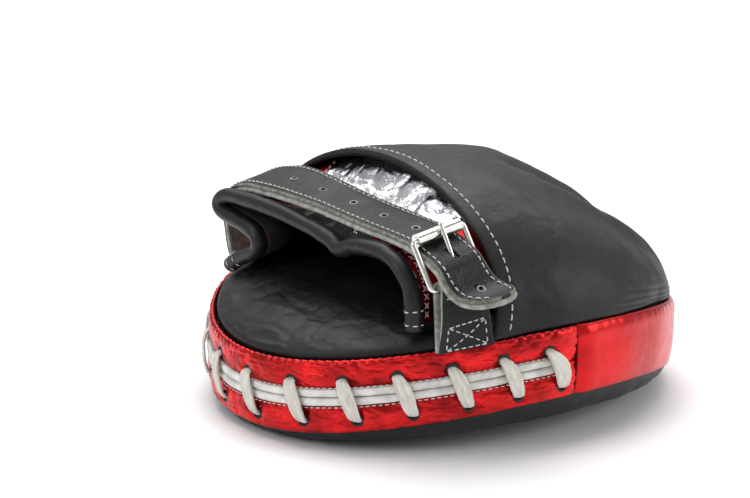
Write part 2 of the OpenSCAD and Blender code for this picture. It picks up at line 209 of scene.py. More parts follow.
def slab(name, top, under, edge_slot=0, under_slot=0):
    """Closed sheet of leather between two grids of points."""
    n, m = top.shape[:2]
    a, b = np.arange(n * m).reshape(n, m), np.arange(n * m).reshape(n, m) + n * m
    quads = [np.stack([a[:-1, :-1], a[1:, :-1], a[1:, 1:], a[:-1, 1:]], 2).reshape(-1, 4),
             np.stack([b[:-1, :-1], b[:-1, 1:], b[1:, 1:], b[1:, :-1]], 2).reshape(-1, 4)]
    count = len(quads[0])
    for side in ((0, slice(None)), (n - 1, slice(None)), (slice(None), 0), (slice(None), m - 1)):
        p, q = a[side], b[side]
        flip = side in ((0, slice(None)), (slice(None), m - 1))
        row = np.stack([p[:-1], p[1:], q[1:], q[:-1]], 1)
        quads.append(row if flip else row[:, ::-1])
    rest = sum(len(q) for q in quads) - 2 * count
    du, dv = run_lengths(top)
    uv = np.stack(np.meshgrid(du, dv, indexing="ij"), 2).reshape(-1, 2)
    obj = link(name, np.r_[top.reshape(-1, 3), under.reshape(-1, 3)], np.concatenate(quads).tolist(),
               np.r_[uv, uv], [0] * count + [under_slot] * count + [edge_slot] * rest)
    return outward(obj)


def spline(points, steps):
    """Smooth run through points, evenly spaced."""
    p = np.asarray(points, float)
    q = np.r_[[2 * p[0] - p[1]], p, [2 * p[-1] - p[-2]]]
    out = []
    for i in range(1, len(q) - 2):
        t = np.linspace(0, 1, 24, endpoint=False)[:, None]
        out.append(0.5 * (2 * q[i] + (q[i + 1] - q[i - 1]) * t
                          + (2 * q[i - 1] - 5 * q[i] + 4 * q[i + 1] - q[i + 2]) * t ** 2
                          + (3 * q[i] - q[i - 1] - 3 * q[i + 1] + q[i + 2]) * t ** 3))
    return even(np.r_[np.concatenate(out), [p[-1]]], steps)


def even(run, steps):
    s = np.r_[0, np.cumsum(np.linalg.norm(np.diff(run, axis=0), axis=1))]
    at = np.linspace(0, s[-1], steps)
    return np.stack([np.interp(at, s, run[:, k]) for k in range(run.shape[1])], 1)


def unit(v):
    return v / np.maximum(np.linalg.norm(v, axis=-1, keepdims=True), 1e-9)


class Surface:
    """A grid of points on which stitches can lie; out points away from the leather's inside."""

    def __init__(self, grid, out=1):
        self.grid, self.normal = grid, normals(grid) * out

    def at(self, u, v):
        n, m = self.grid.shape[:2]
        x, y = np.clip(np.asarray(u) * (n - 1), 0, n - 1.001), np.clip(np.asarray(v) * (m - 1), 0, m - 1.001)
        i, j = x.astype(int), y.astype(int)
        f, g = (x - i)[:, None], (y - j)[:, None]

        def mix(a):
            return (a[i, j] * (1 - f) + a[i + 1, j] * f) * (1 - g) + (a[i, j + 1] * (1 - f) + a[i + 1, j + 1] * f) * g
        return mix(self.grid), unit(mix(self.normal))

    def line(self, uv, steps=400):
        uv = even(np.asarray(uv, float), steps)
        return self.at(uv[:, 0], uv[:, 1])


def rod_faces(start, rings, sides):
    """Faces of a closed rod, whose rings of vertices follow each other from start."""
    first = [start + j for j in range(sides)]
    faces = [(a + i * sides, b + i * sides, b + (i + 1) * sides, a + (i + 1) * sides)
             for i in range(rings - 1) for a, b in zip(first, first[1:] + first[:1])]
    return faces + [tuple(first[::-1]), tuple(a + (rings - 1) * sides for a in first)]


def thread(name, lines, body, pitch=3.6, length=2.5, radius=0.32, lift=0.12):
    """Rows of stitches: short rounded threads that dip into the surface at both ends."""
    verts, faces = [], []
    sides, along = 6, np.array([-0.5, -0.42, -0.22, 0, 0.22, 0.42, 0.5])
    rise = np.array([-1.5, -0.55, 0.1, 0.3, 0.1, -0.55, -1.5]) * radius
    thin = np.array([0.45, 0.8, 1, 1.05, 1, 0.8, 0.45]) * radius
    ring = np.radians(np.arange(sides) * 360 / sides)
    for points, normal in lines:
        s = np.r_[0, np.cumsum(np.linalg.norm(np.diff(points, axis=0), axis=1))]
        count = max(1, int(s[-1] / pitch))
        for c in range(count):
            mid = (c + 0.5) * s[-1] / count
            at = [np.array([np.interp(mid + a * length, s, points[:, k]) for k in range(3)]) for a in along]
            n = unit(np.array([np.interp(mid, s, normal[:, k]) for k in range(3)]))
            t = unit(at[-1] - at[0])
            b = np.cross(n, t)
            start = len(verts)
            for p, up, r in zip(at, rise, thin):
                verts += [p + n * (up + lift) + r * (math.cos(g) * n + math.sin(g) * b) for g in ring]
            faces += rod_faces(start, len(along), sides)
    obj = link(name, verts, faces)
    obj.data.materials.append(MAT["thread"])
    if body:
        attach(obj, body)
    return obj


def cut(obj, cutters):
    """Takes closed cutter meshes away from obj."""
    for cutter in cutters:
        m = obj.modifiers.new("cut", "BOOLEAN")
        m.operation, m.solver, m.object, m.use_self = "DIFFERENCE", "EXACT", cutter, True
    bpy.context.view_layer.update()
    done = bpy.data.meshes.new_from_object(obj.evaluated_get(bpy.context.evaluated_depsgraph_get()))
    obj.modifiers.clear()
    obj.data = done
    for cutter in cutters:
        bpy.data.objects.remove(cutter)


def rods(name, pairs, radius, sides=16):
    """One mesh of separate round rods, each from one point to another."""
    verts, faces = [], []
    for a, b in pairs:
        a, b = np.asarray(a, float), np.asarray(b, float)
        t = unit(b - a)
        side = unit(np.cross(t, [0.3, 0.5, 0.81]))
        other = np.cross(t, side)
        start = len(verts)
        for p in (a, b):
            verts += [p + radius * (math.cos(g) * side + math.sin(g) * other)
                      for g in np.radians(np.arange(sides) * 360 / sides)]
        faces += rod_faces(start, 2, sides)
    return link(name, verts, faces)


# ---- Materials ----

MAT = {}
# Bump textures: node, output, its settings and its input values
BUMPS = {"grain": ("Voronoi", "Distance", {"feature": "DISTANCE_TO_EDGE"}, {}),
         "cells": ("Voronoi", "Distance", {}, {}),
         "weave": ("Wave", "Fac", {"bands_direction": "DIAGONAL"}, {"Distortion": 1.5}),
         "fibre": ("Wave", "Fac", {"bands_direction": "Y"}, {"Distortion": 6, "Detail": 3}),
         "wrinkle": ("Noise", "Fac", {}, {"Detail": 5, "Distortion": 0.6}),
         "noise": ("Noise", "Fac", {}, {"Detail": 5})}


def material(name, color, dark, rough, rough_range=0.12, metal=0.0, coat=0.0, gloss=0.5, coords="Object",
             bumps=(), patch=60.0, stretch=(1, 1, 1)):
    """Procedural surface. bumps are (kind, size in mm, strength); patch is the size of its colour patches in mm."""
    m = bpy.data.materials.new(name)
    m.use_nodes = True
    nodes, links = m.node_tree.nodes, m.node_tree.links
    shader = nodes["Principled BSDF"]
    for key, value in (("Metallic", metal), ("Coat Weight", coat), ("Coat Roughness", 0.28),
                       ("Specular IOR Level", gloss)):
        shader.inputs[key].default_value = value
    coord = nodes.new("ShaderNodeTexCoord")
    scale = nodes.new("ShaderNodeMapping")
    scale.inputs["Scale"].default_value = stretch
    links.new(coord.outputs[coords], scale.inputs["Vector"])
    blotch = nodes.new("ShaderNodeTexNoise")
    blotch.inputs["Scale"].default_value = 1000 / patch
    blotch.inputs["Detail"].default_value = 6
    links.new(scale.outputs["Vector"], blotch.inputs["Vector"])
    ramp = nodes.new("ShaderNodeValToRGB")
    ramp.color_ramp.elements[0].position, ramp.color_ramp.elements[1].position = 0.35, 0.65
    ramp.color_ramp.elements[0].color = (*dark, 1)
    ramp.color_ramp.elements[1].color = (*color, 1)
    links.new(blotch.outputs["Fac"], ramp.inputs["Fac"])
    links.new(ramp.outputs["Color"], shader.inputs["Base Color"])
    fine = nodes.new("ShaderNodeTexNoise")
    fine.inputs["Scale"].default_value = 1000 / (patch / 6)
    fine.inputs["Detail"].default_value = 4
    links.new(scale.outputs["Vector"], fine.inputs["Vector"])
    spread = nodes.new("ShaderNodeMapRange")
    spread.inputs["From Min"].default_value, spread.inputs["From Max"].default_value = 0.3, 0.7
    spread.inputs["To Min"].default_value = rough - rough_range
    spread.inputs["To Max"].default_value = rough + rough_range
    links.new(fine.outputs["Fac"], spread.inputs["Value"])
    links.new(spread.outputs["Result"], shader.inputs["Roughness"])
    last = None
    for kind, size, strength in bumps:
        family, out, settings, values = BUMPS[kind]
        tex = nodes.new("ShaderNodeTex" + family)
        for key, value in settings.items():
            setattr(tex, key, value)
        for key, value in values.items():
            tex.inputs[key].default_value = value
        tex.inputs["Scale"].default_value = 1000 / size
        links.new(scale.outputs["Vector"], tex.inputs["Vector"])
        bump = nodes.new("ShaderNodeBump")
        bump.inputs["Strength"].default_value = strength
        bump.inputs["Distance"].default_value = size * MM * 0.25
        links.new(tex.outputs[out], bump.inputs["Height"])
        if last:
            links.new(last.outputs["Normal"], bump.inputs["Normal"])
        last = bump
    if last:
        links.new(last.outputs["Normal"], shader.inputs["Normal"])
    MAT[name] = m
    return m


material("black_leather", (0.013, 0.013, 0.015), (0.006, 0.006, 0.007), 0.48, 0.06, gloss=0.3,
         bumps=(("grain", 1.3, 0.22), ("wrinkle", 7, 0.25), ("noise", 0.6, 0.12)))
material("palm_leather", (0.013, 0.013, 0.014), (0.006, 0.006, 0.007), 0.45, 0.07, gloss=0.28,
         bumps=(("grain", 1.4, 0.3), ("wrinkle", 5, 0.35), ("noise", 0.7, 0.15)))
material("binding_leather", (0.015, 0.015, 0.017), (0.008, 0.008, 0.009), 0.42, 0.05, gloss=0.32,
         bumps=(("grain", 0.9, 0.15), ("wrinkle", 6, 0.2)))
material("strap_leather", (0.013, 0.013, 0.014), (0.006, 0.006, 0.007), 0.43, 0.07, gloss=0.26,
         bumps=(("grain", 1.7, 0.5), ("wrinkle", 4, 0.35)))
material("split_leather", (0.42, 0.43, 0.40), (0.20, 0.21, 0.18), 0.85, 0.1, patch=3,
         bumps=(("noise", 0.5, 0.9), ("noise", 1.6, 0.6)))
material("felt_edge", (0.24, 0.24, 0.20), (0.09, 0.09, 0.07), 0.9, 0.06, patch=2.2,
         bumps=(("noise", 0.4, 1.0), ("noise", 1.2, 0.7)))
material("red_foil", (0.74, 0.014, 0.016), (0.30, 0.005, 0.006), 0.26, 0.07, metal=0.9, coat=0.12, patch=11,
         stretch=(0.7, 0.7, 1.7), bumps=(("wrinkle", 6, 0.5), ("wrinkle", 1.8, 0.32), ("noise", 0.7, 0.08)))
material("red_foil_smooth", (0.66, 0.014, 0.016), (0.44, 0.008, 0.009), 0.30, 0.05, metal=0.88, coat=0.1, patch=30,
         bumps=(("wrinkle", 14, 0.16), ("wrinkle", 3, 0.08), ("noise", 0.8, 0.05)))
material("silver_foil", (0.86, 0.87, 0.89), (0.55, 0.56, 0.60), 0.16, 0.07, metal=1.0, patch=12,
         bumps=(("wrinkle", 11, 0.5), ("wrinkle", 2.4, 0.22)))
material("white_leather", (0.80, 0.79, 0.76), (0.58, 0.56, 0.52), 0.48, 0.08, patch=6,
         bumps=(("grain", 0.9, 0.2), ("wrinkle", 2.2, 0.35)))
material("white_lace", (0.88, 0.86, 0.80), (0.66, 0.62, 0.53), 0.72, 0.08, coords="UV", patch=2.5,
         stretch=(0.35, 2.2, 1), bumps=(("fibre", 0.9, 0.55), ("noise", 0.5, 0.5)))
material("thread", (0.78, 0.77, 0.73), (0.52, 0.51, 0.48), 0.6, 0.1, patch=2, bumps=(("weave", 0.5, 0.6),))
material("lining_cloth", (0.022, 0.022, 0.025), (0.010, 0.010, 0.012), 0.8, 0.08, patch=8,
         bumps=(("weave", 0.8, 0.8), ("noise", 0.5, 0.4)))
# Painted shade: near-black colour for the rings round the lace holes and for the seam's needle holes, standing in for
# the shade inside them.
material("dark_hole", (0.012, 0.010, 0.010), (0.004, 0.004, 0.004), 0.6, 0.1, patch=2, bumps=(("noise", 0.5, 0.5),))
material("foam", (0.80, 0.76, 0.62), (0.62, 0.58, 0.45), 0.85, 0.06, patch=5, bumps=(("cells", 0.8, 0.6),))
material("core_foam", (0.36, 0.40, 0.44), (0.24, 0.27, 0.31), 0.85, 0.06, patch=5, bumps=(("cells", 0.8, 0.6),))
material("fibre_board", (0.30, 0.22, 0.14), (0.16, 0.11, 0.07), 0.8, 0.1, patch=3,
         bumps=(("fibre", 1.0, 0.4), ("noise", 0.8, 0.5)))
material("nickel", (0.80, 0.78, 0.74), (0.66, 0.64, 0.60), 0.16, 0.06, metal=1.0, patch=5,
         bumps=(("noise", 2.5, 0.05), ("fibre", 0.5, 0.03)))
material("floor", (0.91, 0.91, 0.92), (0.90, 0.90, 0.91), 0.6, 0.05, patch=400)


def finish_piece(obj, mats, body="pad", replaces=()):
    for m in [mats] if isinstance(mats, str) else mats:
        obj.data.materials.append(MAT[m])
    if body:
        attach(obj, body)
    if replaces:
        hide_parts(*replaces)
    return obj


# ---- Rim bands ----


def rim_frame(theta):
    """Outline point and outward direction at an angle from the wrist end towards the buckle side."""
    x, y = outline(180 + theta, 0)
    n = unit(np.stack([x / WRIST_HALF ** 2, y / HALF_WIDTH ** 2, np.zeros_like(x)], -1))
    return x, y, n


def rim_point(theta, depth, off):
    x, y, n = rim_frame(np.asarray(theta, float))
    off = np.asarray(off, float)
    return np.stack([x + n[..., 0] * off, y + n[..., 1] * off, bend_z(x, depth) + 0 * off], -1)


STITCHES = 13
LEAN = 3.6
LAST = 79.0
THETAS = np.linspace(-LAST, LAST, STITCHES)
THETAS = THETAS + 3.9 * np.sin(math.pi * THETAS / LAST) + 2.0 * bell(THETAS, 0, 32)
# Angle where the welts end and the two red bands meet, and the depth where they meet
WELT_END, WELT_SPLIT = 81.8, 16.5
BAND = 2.3
UPPER_HOLE, LOWER_HOLE, LACE_MIDDLE = 10.0, 26.5, 17.5
END_THETA = math.degrees(math.acos(-SEAM_X / WRIST_HALF))


def section(top, bottom, thick, steps=26):
    """Inset and depth round a band's closed section, and how far each point counts as its outer face."""
    r = thick / 2
    arc = np.radians(np.linspace(0, 180, 7))
    wall = np.linspace(top + r, bottom - r, steps)
    inset = np.r_[np.zeros(steps), r - r * np.cos(arc)[1:-1], np.full(6, thick), (r + r * np.cos(arc))[1:-1]]
    depth = np.r_[wall, bottom - r + r * np.sin(arc)[1:-1], np.linspace(bottom - r, top + r, 6),
                  top + r - r * np.sin(arc)[1:-1]]
    outer = np.r_[np.ones(steps), np.linspace(0.9, 0.1, 5), np.zeros(6), np.linspace(0.1, 0.9, 5)]
    return inset, depth, outer


def dents(theta, depth, where, depth_mm, size):
    """Sum of round dents at (angle, depth) places on the rim."""
    total = 0
    for t, d in where:
        arc = (theta - t) * math.radians(1) * (WRIST_HALF + HALF_WIDTH) / 2
        total = total + depth_mm * np.exp(-(arc ** 2 + (depth - d) ** 2) / size ** 2)
    return total


HOLES = [(t - 0.1, UPPER_HOLE - 0.7) for t in THETAS] + [(t + LEAN + 0.1, LOWER_HOLE + 0.7) for t in THETAS]


def foil_relief(p, fine=1.0):
    """Crinkles of the foil leather, in millimetres."""
    q = p * [1, 1, 1.7]
    return (0.55 * fbm(q, 16, 3, 3) - 0.35 * fine * creases(q, 9, 2, 5) + 0.22 * fine * fbm(q, 3.2, 2, 8))


def laced_band(name, top, bottom, meets, replaced):
    theta = np.linspace(-END_THETA + 0.15, END_THETA - 0.15, 400)[:, None]
    rows = []
    close = smooth(WELT_END - 0.6, WELT_END + 1.4, np.abs(theta[:, 0]))
    for k, t in enumerate(theta[:, 0]):
        a = top + (meets - top) * close[k] if top > meets else top
        b = bottom + (meets - bottom) * close[k] if bottom < meets else bottom
        rows.append(section(a, b, BAND)[:2])
    inset, depth = np.array([r[0] for r in rows]), np.array([r[1] for r in rows])
    outer = section(top, bottom, BAND)[2][None, :]
    low, high = depth.min(1, keepdims=True), depth.max(1, keepdims=True)
    share = (depth - low) / (high - low)
    puff = 1.1 * np.sin(np.pi * np.clip(share, 0, 1)) ** 0.8
    off = -inset + outer * (puff - dents(theta, depth, HOLES, 1.7, 3.4) - 0.9 * bell(np.abs(theta), END_THETA, 1.6))
    p = rim_point(theta + 0 * depth, depth, off)
    n = rim_frame(theta + 0 * depth)[2]
    p = p + n * (outer * foil_relief(p))[..., None]
    p[..., 2] += 0.35 * np.sin(theta * 2.9) * (depth < 2) * outer
    obj = tube(name, p)
    cut(obj, [rods(name + "_cutters", [(rim_point(t, d, -6), rim_point(t, d, 6)) for t, d in HOLES], 2.2)])
    return finish_piece(obj, "red_foil", replaces=[replaced])


laced_band("rim_upper", 0.2, 12.6, WELT_SPLIT, "rim_band_upper")
laced_band("rim_lower", 20.4, RIM_HEIGHT, WELT_SPLIT, "rim_band_lower")


def finger_band():
    t = np.linspace(-180 + END_THETA + 0.1, 180 - END_THETA - 0.1, 380)[:, None]
    inset, depth, outer = section(0.2, RIM_HEIGHT, BAND, 34)
    inset, depth, outer = inset[None, :], depth[None, :], outer[None, :]
    x, y = outline(t, 0)
    n = unit(np.stack([x / FINGER_HALF ** 2, y / HALF_WIDTH ** 2, np.zeros_like(x)], -1))
    share = depth / RIM_HEIGHT
    bulge = 1.9 * np.sin(np.pi * np.clip(share, 0, 1)) ** 0.7 + 0.7 * bell(share, 0.14, 0.1)
    end = np.minimum(np.abs(t + 180 - END_THETA), np.abs(t - 180 + END_THETA))
    off = -inset + outer * (bulge - 1.6 * bell(end, 0, 1.5) + 0.5 * bell(end, 4, 2.0))
    p = np.stack([x + n[..., 0] * off, y + n[..., 1] * off, bend_z(x, depth) + 0 * off], -1)
    soft = 0.9 * fbm(p * [1, 1, 0.6], 30, 2, 21) + 0.14 * foil_relief(p, 0.6)
    pucker = 0.1 * np.sin(t * 1.9 + 2 * np.sin(t * 0.3)) * bell(depth, 1, 3.5)
    p = p + n * (outer * (soft + pucker))[..., None]
    return finish_piece(tube("rim_finger", p), "red_foil_smooth",
                        replaces=["rim_band_finger"])


finger_band()

# ---- Welts ----


def welt(name, top, bottom, replaced):
    theta = np.linspace(-WELT_END, WELT_END, 420)[:, None]
    a = np.radians(np.arange(20) * 18)[None, :]
    middle, half = (top + bottom) / 2, (bottom - top) / 2
    end = np.sqrt(np.clip((WELT_END - np.abs(theta)) / 1.8, 0.02, 1))
    pinch = sum(bell(theta, t + LEAN / 2, 1.5) for t in THETAS)
    depth = middle + half * end * np.sign(np.sin(a)) * np.abs(np.sin(a)) ** 0.75
    off = -0.7 + 2.3 * end * np.sign(np.cos(a)) * np.abs(np.cos(a)) ** 0.75 - 0.7 * pinch
    p = rim_point(theta + 0 * a, depth, off)
    n = rim_frame(theta + 0 * a)[2]
    p = p + n * (0.28 * fbm(p, 6, 2, 31) - 0.25 * creases(p * [1, 1, 0.4], 5, 1, 33))[..., None]
    finish_piece(tube(name, p), "white_leather", replaces=[replaced])
    edge = middle + (half + 0.5) * (-1 if middle < WELT_SPLIT else 1)
    run = np.linspace(1 - WELT_END, WELT_END - 1, 900)
    return rim_point(run, edge, 0.75), rim_frame(run)[2]


welt_rows = [welt("welt_upper_piping", 12.6, 16.4, "welt_upper"), welt("welt_lower_piping", 16.6, 20.4, "welt_lower")]
thread("welt_stitches", welt_rows, "pad", pitch=2.9, length=1.9, radius=0.24, lift=0.25)

# ---- Lace ----


def lace_path():
    """Control points of the lace and the direction of its width at each."""
    spots, widths = [], []

    def add(t, depth, off, width, along=(1, 0)):
        n = rim_frame(np.array([float(t)]))[2][0]
        tangent = np.array([-n[1], n[0], 0.0])
        spots.append(rim_point(float(t), depth, off))
        widths.append((tangent * along[0] + np.array([0, 0, 1.0]) * along[1], width))

    for k, t in enumerate(THETAS):
        loop = 1.0 if k == STITCHES - 1 else 0.0
        add(t, UPPER_HOLE, -3.6, 4.6)
        add(t - 0.05, UPPER_HOLE - 0.2, 1.0, 5.2)
        add(t + 0.8, 12.7, 2.9 + 0.8 * loop, 6.5 + loop)
        add(t + 1.8, LACE_MIDDLE - 0.6, 3.4 + 1.3 * loop, 7.0 + 1.6 * loop)
        add(t + 2.8, 22.6, 2.8 + 0.8 * loop, 6.5 + loop)
        add(t + LEAN + 0.05, LOWER_HOLE + 0.2, 0.9, 5.0)
        add(t + LEAN, LOWER_HOLE, -3.6, 4.6)
        if k < STITCHES - 1:
            add((t + LEAN + THETAS[k + 1]) / 2, 18.5, -4.6, 4.6, along=(-0.3, 0.95))
    return np.array(spots), np.array([w[0] for w in widths]), np.array([w[1] for w in widths])


def lace():
    spots, across, width = lace_path()
    steps = 1500
    run = spline(np.c_[spots, across * 10, width[:, None]], steps)
    p, w, size = run[:, :3], run[:, 3:6], run[:, 6]
    t = unit(np.gradient(p, axis=0))
    w = unit(w - (w * t).sum(1, keepdims=True) * t)
    n = np.cross(t, w)
    a = np.radians(np.arange(14) * 360 / 14)
    wide = np.sign(np.cos(a)) * np.abs(np.cos(a)) ** 0.7
    flat = np.sign(np.sin(a)) * np.abs(np.sin(a)) ** 0.8
    thick = 0.85 + 0.35 * (5.4 - np.clip(size, 4.6, 5.4))
    rings = (p[:, None] + w[:, None] * (wide[None, :] * size[:, None] / 2)[..., None]
             + n[:, None] * (flat[None, :] * thick[:, None])[..., None])
    rings = rings + unit(rings - p[:, None]) * (0.20 * fbm(rings, 1.7, 2, 41)
                                                 + 0.10 * np.sin(np.arange(14) * 2.4)[None, :])[..., None]
    finish_piece(tube("lace_thong", rings), "white_lace", replaces=["lace"])
    return np.linalg.norm(np.diff(p, axis=0), axis=1).sum()


lace_length = lace()


def small_rings(places, sides, point):
    """Mesh of one small ring at each place; point gives a vertex from the place and the two angles."""
    verts, faces = [], []
    for place in places:
        start = len(verts)
        verts += [point(place, i * math.pi / 10, 2 * math.pi * j / sides) for i in range(20) for j in range(sides)]
        for i in range(20):
            for j in range(sides):
                k, m = (i + 1) % 20, (j + 1) % sides
                faces.append((start + i * sides + j, start + k * sides + j,
                              start + k * sides + m, start + i * sides + m))
    return verts, faces


def hole_rims():
    """Painted shade: near-black rings round the punched holes of the rim, standing in for the shade where the lace
    dives into them.
    """
    def point(hole, a, b):
        n = rim_frame(np.array([hole[0]]))[2][0]
        ray = math.cos(a) * np.array([-n[1], n[0], 0]) + math.sin(a) * np.array([0, 0, 1.0])
        return rim_point(*hole, -0.75) + ray * (2.45 + 0.65 * math.cos(b)) + n * (0.45 + 0.65 * math.sin(b))

    finish_piece(outward(link("lace_hole_edges", *small_rings(HOLES, 8, point))), "dark_hole")


hole_rims()

# ---- Seams where the laced half meets the finger band ----


def seams():
    rows = []
    for side in (-1, 1):
        theta = np.full(60, -side * END_THETA + side * 0.15)
        depth = np.linspace(3, 30, 60)
        rows.append((rim_point(theta, depth, -0.35), rim_frame(theta)[2]))
    # Painted shade: the seam's stitch rods get the near-black hole material, which stands in for the shade in the
    # needle holes.
    holes = thread("rim_seam_stitches", rows, "pad", pitch=4.2, length=1.7, radius=0.42, lift=0.2)
    holes.data.materials[0] = MAT["dark_hole"]


seams()

# ---- Striking face ----


def face_cushion():
    t = np.linspace(0, 360, 361)[:-1]
    insets = [2.2, 1.4, 1.2, 1.6, 2.6, 4.2, 6.6, 10, 15, 22, 31, 42, 54, 67, 80, 91]
    depths = [31.5, 32.6] + [33.0] * 14
    bulges = [0, 0, 0.08, 0.2, 0.38, 0.58, 0.82, 0.95, 0.985, 1, 1, 1, 1, 1, 1, 1]
    fine = np.linspace(0, len(insets) - 1, 64)
    depths = np.interp(fine, np.arange(len(insets)), depths)[:, None]
    bulges = np.interp(fine, np.arange(len(insets)), bulges)[:, None]
    insets = np.interp(fine, np.arange(len(insets)), insets)[:, None]
    x, y = outline(t[None, :], insets)
    arch = FACE_ARCH - FACE_BEND + np.sqrt(FACE_BEND ** 2 - x ** 2)
    p = np.stack([x, y, bend_z(x, depths) * (1 - bulges) + arch * bulges], -1)
    soft = smooth(3, 20, insets)
    folds = (0.45 * fbm(p, 14, 3, 51) - 0.35 * creases(p * [1, 1, 0.5], 13, 1, 52) * (1 - soft)
             + 0.35 * np.sin(t * 0.9)[None, :] * bell(insets, 2.6, 2.2))
    p[..., 2] = np.maximum(p[..., 2] - folds - soft * 0.3, 0)
    n, m = p.shape[:2]
    verts = np.r_[p.reshape(-1, 3), [[0, 0, FACE_ARCH]]]
    faces = [(i * m + j, i * m + (j + 1) % m, (i + 1) * m + (j + 1) % m, (i + 1) * m + j)
             for i in range(n - 1) for j in range(m)]
    faces += [((n - 1) * m + j, (n - 1) * m + (j + 1) % m, n * m) for j in range(m)]
    top = [(j, n * m + 1, (j + 1) % m) for j in range(m)]
    verts = np.r_[verts, [[0, 0, float(bend_z(0.0, 31.0))]]]
    obj = finish_piece(outward(link("face_cushion", verts, faces + top)), "black_leather",
                       replaces=["face_panel"])


face_cushion()

# ---- Palm panel ----


def palm_lift(share):
    return 10.5 * np.sqrt(np.maximum(0, 1 - share ** 5))


def palm_cushion():
    t = np.linspace(0, 360, 481)[:-1][None, :]
    share = np.sin(np.linspace(0.02, 1, 96) * np.pi / 2)[:, None]
    x, y = outline(t, 3.4)
    x, y = x * share, y * share
    p = np.stack([x, y, bend_z(x, -0.2) + palm_lift(share)], -1)
    heel = smooth(-20, -70, x)
    edge = smooth(0.55, 0.8, share) * (1 - smooth(0.975, 1, share))
    radial = np.stack([np.radians(t) * 100 + 0 * share, share * 40 + 0 * t, 0 * x], -1)
    relief = (0.9 * fbm(p, 26, 2, 61) * (1 - smooth(0.97, 1, share)) + 0.35 * fbm(p, 6, 3, 62) * edge
              - heel * edge * 0.5 * creases(radial * [0.4, 1.6, 1], 10, 2, 63)
              - heel * 0.26 * creases(p * [1.3, 0.5, 1], 13, 2, 66) * (1 - smooth(0.95, 1, share))
              + 0.5 * heel * fbm(p * [1.6, 0.45, 1], 9, 2, 65) * (1 - smooth(0.95, 1, share))
              - 0.3 * edge * creases(radial * [1, 0.5, 1], 16, 1, 64))
    p[..., 2] += relief
    n, m = p.shape[:2]
    skirt = np.stack([x[-1], y[-1], bend_z(x[-1], 2.6)], -1)
    middle = [[0, 0, p[0, :, 2].mean()], [0, 0, float(bend_z(0.0, 2.6))]]
    verts = np.r_[p.reshape(-1, 3), skirt, middle]
    a = np.arange(m)
    b = (a + 1) % m
    faces = [(i * m + j, i * m + k, (i + 1) * m + k, (i + 1) * m + j) for i in range(n) for j, k in zip(a, b)]
    faces += [(n * m + m, int(k), int(j)) for j, k in zip(a, b)]
    faces += [(n * m + m + 1, int(n * m + j), int(n * m + k)) for j, k in zip(a, b)]
    obj = finish_piece(outward(link("palm_cushion", verts, faces)), "palm_leather",
                       replaces=["palm_panel", "palm_foam"])


palm_cushion()

# ---- Finger hood ----

HOOD_RISE = 68.0
HEM_STITCH = 7.0


def hood_top(x):
    share = (x + HEM_BACK) / (FINGER_HALF + HEM_BACK)
    return HOOD_RISE * np.maximum(0, 1 - np.clip(share, 0, 1) ** 2.7) ** 0.58 - 5 * np.sin(math.pi * share)


def hood_point(x, v, inset):
    """Point of the hood's arch that rises from the rim at x; v in radians from the buckle side."""
    x, v = np.broadcast_arrays(np.asarray(x, float), np.asarray(v, float))
    y = -half_width_at(x, 1 + inset) * np.cos(v)
    near = (1 - 0.24 * np.clip((x + 8) / 70, 0, 1) * smooth(0, 0.5, np.cos(v))
            - 0.06 * smooth(70, 100, x) * smooth(0.1, 0.5, np.cos(v)))
    valley = 1 - 0.05 * bell(y, -13, 11) * smooth(5, 45, x)
    far = 1 - 0.08 * smooth(30, 80, y) * smooth(0, 50, x)
    z = np.maximum(0.4, hood_top(x) - inset) * np.sin(v) * near * valley * far
    lean = 7 * np.maximum(0, 1 - (x + HEM_BACK) / 60)
    return np.stack([x + lean * np.sin(np.minimum(1, z / 40) * math.pi / 2), y, bend_z(x, 0) + 0.3 + z], -1)


HOOD_ROWS, HOOD_COLUMNS = 150, 220


def hood_grid():
    """The hood's outer surface with its folds, from the hem to the finger tip."""
    x = -HEM_BACK + (HOOD_TIP + HEM_BACK) * np.sin(np.linspace(0, 90, HOOD_ROWS) * math.pi / 180)
    x = x[:, None] + np.zeros(HOOD_COLUMNS)[None, :]
    v = np.linspace(0, math.pi, HOOD_COLUMNS)[None, :] + 0 * x
    p = hood_point(x, v, 0)
    y, z = p[..., 1], p[..., 2] - bend_z(x, 0)
    rise = np.maximum(0.4, hood_top(x))
    n = normals(p)
    n = n * np.sign((n[..., 2:] + 1e-9).mean())
    low = z / np.maximum(rise, 1)
    hem = smooth(2, 14, x + HEM_BACK)
    foot = bell(low, 0.06, 0.14)
    pleat = np.abs(np.sin(v * 34 + 3 * np.sin(v * 7))) ** 0.5
    q = np.stack([x * 0.35, y, z * 0.4], -1)
    fold = (1.5 * fbm(p, 42, 2, 71) + 0.5 * fbm(p, 15, 3, 72) - 1.1 * creases(q, 22, 1, 73) * smooth(10, 60, x)
            - 0.8 * creases(p * [0.5, 1, 0.35], 20, 1, 75) * foot + 0.7 * (pleat - 0.5) * foot * smooth(0, 40, x))
    fold = fold + 3.4 * bell(y + 0.2 * (x - 20), -36, 12) * smooth(-5, 40, x) * smooth(114, 85, x)
    fold = fold - 1.6 * bell(y + 0.15 * x, -8, 8) * smooth(10, 50, x) * smooth(112, 80, x)
    fold = fold + 2.4 * bell(y - 0.1 * x, 14, 15) * smooth(0, 40, x) * smooth(114, 85, x)
    fold = fold - 1.3 * creases(np.stack([x * 0.25, y * 1.1, z * 0.25], -1), 13, 1, 77) * smooth(72, 102, x)
    fold = fold + 0.5 * np.sin(y * 0.9 + 0.5 * x + 2 * fbm(p, 30, 1, 78)) * smooth(86, 108, x) * smooth(0, 12, z)
    p = p + n * (fold * hem)[..., None]
    return p


hood_outer = hood_grid()


